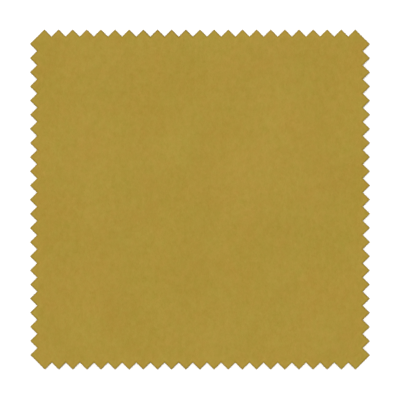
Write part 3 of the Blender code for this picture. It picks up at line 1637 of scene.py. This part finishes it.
@dataclass
class YarnEnds:
    """Ends of the ground's yarns, which show where the blade cut them.

    Attributes:
        cut: the cut that ends them.
        middle: height of the weave's middle above the cloth's back.
        width: width of a yarn.
        plies: plies that a yarn is spun from.
        ply_width: width of a ply, as a share of the yarn's.
        ply_offset: how far a ply's middle is from the yarn's, as a share of the yarn's width.
        twist: how far the plies turn round each other, in radians for a metre.
        stands_out: least and most that a yarn's end stands out of the pile's cut.
        profile: along a ply, how far back from its end, its girth and how loosely it lies.
        sides: sides of a ply's section.
        over: how far a yarn's end lies above or below the weave's middle, by turns.
        thickness: thinnest and thickest yarn, as shares of the usual width.
        ply_reach: least and most that a ply stands out of its yarn's end.
        opening: least and most that a loose end opens, as a share of the ply's offset.
        flatness: height of a yarn's end, as a share of its width.
        point: length of a ply's pointed tip, as a share of its radius.
        seed: seed of how far each stands out.
    """

    cut: PinkedCut
    middle: float
    width: float = 0.40 * MM
    plies: int = 3
    ply_width: float = 0.56
    ply_offset: float = 0.24
    twist: float = 2500.0
    stands_out: Range = (-0.04 * MM, 0.07 * MM)
    profile: tuple[tuple[float, float, float], ...] = (
        (0.60 * MM, 0.95, 0.0),
        (0.30 * MM, 1.0, 0.0),
        (0.12 * MM, 1.02, 0.5),
        (0.03 * MM, 0.92, 1.0),
        (0.0, 0.60, 1.0),
    )
    sides: int = 8
    over: float = 0.07 * MM
    thickness: Range = (0.85, 1.15)
    ply_reach: Range = (-0.05 * MM, 0.03 * MM)
    opening: Range = (0.9, 1.25)
    flatness: float = 0.7
    point: float = 0.35
    seed: int = 43

    def ends(self, yarn: Yarn) -> tuple[np.ndarray, np.ndarray]:
        """Find both ends of every yarn of one system.

        Args:
            yarn: the system.

        Returns:
            Where each end is cut, with its height, and the way that it points.
        """
        side = 1 - yarn.value
        pitch = self.cut.pitch[side] / YARNS_IN_TOOTH
        places = np.arange(self.cut.low[side] + 0.5 * pitch, self.cut.high[side], pitch)
        inset = self.cut.inset(side, places)
        found, ways = [], []
        for sign, limit in ((-1, self.cut.low), (1, self.cut.high)):
            ends = np.empty((len(places), 3))
            ends[:, side] = places
            ends[:, yarn.value] = limit[yarn.value] - sign * inset
            over = np.where(np.arange(len(places)) % 2, 1, -1) * (1 if yarn is Yarn.WARP else -1)
            ends[:, 2] = self.middle + self.over * over
            way = np.zeros((len(places), 3))
            way[:, yarn.value] = sign
            found.append(ends)
            ways.append(way)
        return np.concatenate(found), np.concatenate(ways)

    def build(self, lay: Lay, material: bpy.types.Material) -> bpy.types.Object:
        """Build and dress the yarn ends.

        Args:
            lay: how the cloth lies.
            material: their finish.

        Returns:
            The yarn ends' object.
        """
        rng = np.random.default_rng(self.seed)
        pairs = [self.ends(yarn) for yarn in Yarn]
        ends, ways = (np.concatenate(part) for part in zip(*pairs))
        count = len(ends)
        across = np.cross(ways, [0.0, 0.0, 1.0])
        up = np.tile([0.0, 0.0, 1.0], (count, 1))
        stands_out = rng.uniform(*self.stands_out, count)
        thick = self.width * rng.uniform(*self.thickness, count)
        turn = rng.uniform(0, 2 * math.pi, count)
        plies = []
        for ply in range(self.plies):
            reach = stands_out + rng.uniform(*self.ply_reach, count)
            spread = rng.uniform(*self.opening, count)
            rings = []
            for back, girth, loose in self.profile:
                angle = turn + 2 * math.pi * ply / self.plies + self.twist * back
                off_middle = self.ply_offset * thick * (1 + loose * (spread - 1))
                middle = (
                    ends
                    + ways * (reach - back)[:, None]
                    + across * (off_middle * np.cos(angle))[:, None]
                    + up * (self.flatness * off_middle * np.sin(angle))[:, None]
                )
                radius = (self.ply_width * 0.5 * girth * thick)[:, None]
                for side in range(self.sides):
                    around = 2 * math.pi * side / self.sides
                    rings.append(middle + radius * (math.cos(around) * across + math.sin(around) * up))
            tip = middle + ways * (self.point * radius)
            tail = middle - ways * (self.profile[0][0] - self.profile[-1][0])
            plies.append(np.stack([*rings, tip, tail], 1))
        points = np.stack(plies, 1).reshape(count * self.plies, -1, 3)
        piece = make_piece("yarn_ends", lay.laid(points.reshape(-1, 3)), self.tubes(len(points)))
        piece.data.materials.append(material)
        return piece

    def tubes(self, count: int) -> list[Faces]:
        """Faces of the plies, each a closed tube whose last two points end it.

        Args:
            count: how many plies there are.

        Returns:
            The quads along the tubes, and the triangles at their ends.
        """
        rows = len(self.profile)
        per_tube = rows * self.sides + 2
        first = per_tube * np.arange(count)[:, None]
        quads, quad_uv, triangles, triangle_uv = [], [], [], []
        last = (rows - 1) * self.sides
        for side in range(self.sides):
            following = (side + 1) % self.sides
            low, high = side / self.sides, (side + 1) / self.sides
            for row in range(rows - 1):
                a, b = row * self.sides, (row + 1) * self.sides
                quads.append([a + following, a + side, b + side, b + following])
                bottom, top = (0.3 + 0.69 * (row + end) / (rows - 1) for end in (0, 1))
                quad_uv.append([(high, bottom), (low, bottom), (low, top), (high, top)])
            triangles.append([last + following, last + side, per_tube - 2])
            triangles.append([side, following, per_tube - 1])
            for middle in (0.25, 0.75):
                angles = [2 * math.pi * step / self.sides for step in (side + 1, side)]
                round_it = [(middle + 0.2 * math.cos(a), 0.14 + 0.12 * math.sin(a)) for a in angles]
                triangle_uv.append([*round_it, (middle, 0.14)])
        cells = math.ceil(math.sqrt(count))
        cell = np.stack([np.arange(count) % cells, np.arange(count) // cells], -1)[:, None]
        groups = []
        for patterns, uvs in ((quads, quad_uv), (triangles, triangle_uv)):
            corners = np.concatenate([first + np.array(pattern) for pattern in patterns])
            places = [(cell + 0.03 + 0.94 * np.array(uv)[None]) / cells for uv in uvs]
            groups.append(Faces(corners, np.concatenate(places)))
        return groups


@dataclass(frozen=True)
class VelvetSample:
    """The whole sample, from its coated back to the tips of its pile.

    Attributes:
        pile: mean colour of the pile.
        settling: how the cloth comes to lie on the table.
        filled: share of the gap between two layers that the lower layer fills.
    """

    pile: Colour = Colour(0.361, 0.2435, 0.0316)
    settling: Settling = Settling()
    filled: float = 0.2

    def build(self) -> dict[str, list[bpy.types.Object]]:
        """Build, dress and place every piece of the sample.

        Returns:
            The pieces of each material slot.
        """
        cut = PinkedCut.of_node("pile")
        lattice = Lattice(cut, STEPS_IN_HALF_TOOTH)
        lay = self.settling.run(cut)
        coating_top, ground_back, ground_top, pile_root, pile_top = self.heights()
        bonded = coating_top + self.filled * (ground_back - coating_top)
        rooted = ground_top + self.filled * (pile_root - ground_top)

        nap = nap_group()
        weave = weave_group(float(cut.pitch.mean()) / YARNS_IN_TOOTH)
        velvet = PileFinish("pile_velvet", self.pile).build(nap)
        # Painted light: the tufts and the nap tips are lighter copies of the pile colour, which offset
        # the shade on the thin fibres; their root factor is painted shade.
        tuft = PileFinish(
            "tuft_fibres", self.pile.times(1.25), sheen=0.15, root=0.6, relief=0.0
        ).build(nap)
        tips = PileFinish("nap_tips", self.pile.times(1.10), root=0.85, relief=0.0).build(nap)
        # The bare yarns' dark gap colours are painted shade between the yarns.
        yarn = WeaveFinish(
            "ground_yarn",
            warp=self.pile.times(0.80),
            weft=self.pile.times(0.70),
            gap=self.pile.times(0.40),
            roughness=0.85,
            bump=0.05 * MM,
        ).build(weave)
        cut_yarn = WeaveFinish(
            "cut_yarn",
            warp=self.pile.times(1.15),
            weft=self.pile.times(1.05),
            gap=self.pile.times(0.85),
            roughness=0.9,
            bump=0.02 * MM,
        ).build(weave)
        film = WeaveFinish(
            "acrylic_film",
            warp=Colour(0.56, 0.49, 0.33),
            weft=Colour(0.50, 0.42, 0.25),
            gap=Colour(0.60, 0.54, 0.40),
            roughness=0.55,
            bump=0.02 * MM,
        ).build(weave)

        face = Pile(lattice, rooted, pile_top)
        pile = face.build(lay, velvet)
        tufts = EdgeTufts(lattice, rooted, pile_top).build(lay, tuft)
        brushed = BrushedNap(lattice, face.height()).build(lay, tips)
        ground = GroundCloth(lattice, bonded, rooted).build(lay, yarn)
        ends = YarnEnds(cut, 0.5 * (bonded + rooted)).build(lay, cut_yarn)
        back = CoatedBack(lattice, bonded).build(lay, film)

        pieces = {
            "pile_velvet": [pile, tufts, brushed],
            "ground_weave": [ground, ends],
            "acrylic_coating": [back],
        }
        for slot, of_slot in pieces.items():
            for piece in of_slot:
                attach(piece, ROOT_BODY)
        for piece, node in ((pile, "pile"), (ground, "ground_cloth"), (back, "back_coating")):
            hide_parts(node)
        self.declare(cut, pile, ["ground_weave"], [tufts, brushed])
        self.declare(cut, ground, ["coated_back"], [ends])
        self.declare(cut, back, [], [])
        return pieces

    @staticmethod
    def declare(
        cut: PinkedCut,
        piece: bpy.types.Object,
        rests_on: list[str],
        with_pieces: list[bpy.types.Object],
    ) -> None:
        """Do nothing with a layer; it is not declared as a sheet of cloth here.

        Args:
            cut: the sample's cut; not used.
            piece: the layer; not used.
            rests_on: names of the pieces under it; not used.
            with_pieces: the pieces that belong to it; not used.
        """

    @staticmethod
    def heights() -> tuple[float, float, float, float, float]:
        """Read the heights of the layers' faces from the frame.

        Returns:
            Heights above the back, from the coating's top to the pile's.
        """
        boxes = [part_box(node) for node in ("back_coating", "ground_cloth", "pile")]
        back = boxes[0][0][2]
        faces = [corner[2] - back for box in boxes for corner in box]
        return tuple(faces[1:])


# ---------------------------------------------------------------------------
# The studio
# ---------------------------------------------------------------------------


@dataclass(frozen=True)
class SoftLight:
    """A broad soft light, far away.

    Attributes:
        name: what it is.
        brightness: how much it adds on a surface that faces it.
        spread: angle that it fills, in degrees.
        left: how far it stands to the left of overhead, in degrees.
        behind: how far it stands behind overhead, in degrees.
    """

    name: str
    brightness: float
    spread: float
    left: float
    behind: float

    def build(self) -> None:
        """Set up the light."""
        data = bpy.data.lights.new(self.name, "SUN")
        data.energy = math.pi * self.brightness
        data.angle = math.radians(self.spread)
        light = bpy.data.objects.new(self.name, data)
        light.rotation_euler = (-math.radians(self.behind), -math.radians(self.left), 0.0)
        bpy.context.scene.collection.objects.link(light)


@dataclass(frozen=True)
class Studio:
    """A white table under a large soft light, seen from straight above.

    Attributes:
        view_width: width of the table that the camera sees at the cloth's face.
        aim: where the camera looks, off the middle of the sample.
        lens: the camera's lens, in millimetres.
        sky: brightness of the room's own light.
        table_radius: radius of the round table.
        table_gap: how far the table lies under the cloth, so that they don't touch.
        lights: the soft lights.
    """

    view_width: float = 0.11777
    aim: tuple[float, float] = (0.00002, -0.000136)
    lens: float = 400.0
    sky: float = 0.30
    table_radius: float = 6.0
    table_gap: float = 0.02 * MM
    lights: tuple[SoftLight, ...] = (
        SoftLight("overhead_light", 0.80, spread=8.0, left=1.5, behind=2.0),
        SoftLight("window_light", 0.10, spread=25.0, left=35.0, behind=48.0),
    )

    def build(self, face: float) -> None:
        """Set up the table, the lights and the camera.

        Args:
            face: height of the sample's face.
        """
        self.table()
        self.room()
        for light in self.lights:
            light.build()
        self.camera(face)
        bpy.context.scene.view_settings.view_transform = "Standard"

    def table(self) -> None:
        """A round table top, wide enough to fill every view."""
        place = (0.0, 0.0, -self.table_gap)
        bpy.ops.mesh.primitive_circle_add(
            vertices=96, radius=self.table_radius, fill_type="NGON", location=place
        )
        table = bpy.context.object
        table.name = "table_top"
        material, _, shader = new_material("white_table")
        shader.inputs["Base Color"].default_value = (1.0, 1.0, 1.0, 1.0)
        shader.inputs["Roughness"].default_value = 1.0
        shader.inputs["Specular IOR Level"].default_value = 0.0
        table.data.materials.append(material)

    def room(self) -> None:
        """Even light from all round, and a white room behind the table."""
        world = bpy.data.worlds.new("white_room")
        bpy.context.scene.world = world
        world.use_nodes = True
        nodes = Nodes(world.node_tree)
        background = world.node_tree.nodes["Background"]
        seen = nodes.add("ShaderNodeLightPath").outputs["Is Camera Ray"]
        strength = nodes.maths("MULTIPLY_ADD", seen, 1.0 - self.sky, self.sky)
        nodes.link(strength, background, "Strength")
        background.inputs["Color"].default_value = (1.0, 1.0, 1.0, 1.0)

    def camera(self, face: float) -> None:
        """Set a long lens straight above the sample, with its far side at the top.

        Args:
            face: height of the sample's face.
        """
        data = bpy.data.cameras.new("camera")
        data.lens = self.lens
        distance = self.view_width * self.lens / data.sensor_width
        camera = bpy.data.objects.new("camera", data)
        camera.location = (*self.aim, face + distance)
        bpy.context.scene.collection.objects.link(camera)
        bpy.context.scene.camera = camera


def main() -> None:
    """Build the sample and its studio."""
    logging.basicConfig(level=logging.INFO, format="%(name)s: %(message)s")
    for slot, pieces in VelvetSample().build().items():
        for piece in pieces:
            log.info("%s: %d faces, slot %s", piece.name, len(piece.data.polygons), slot)
    Studio().build(cad_high.z)


if __name__ == "__main__":
    main()
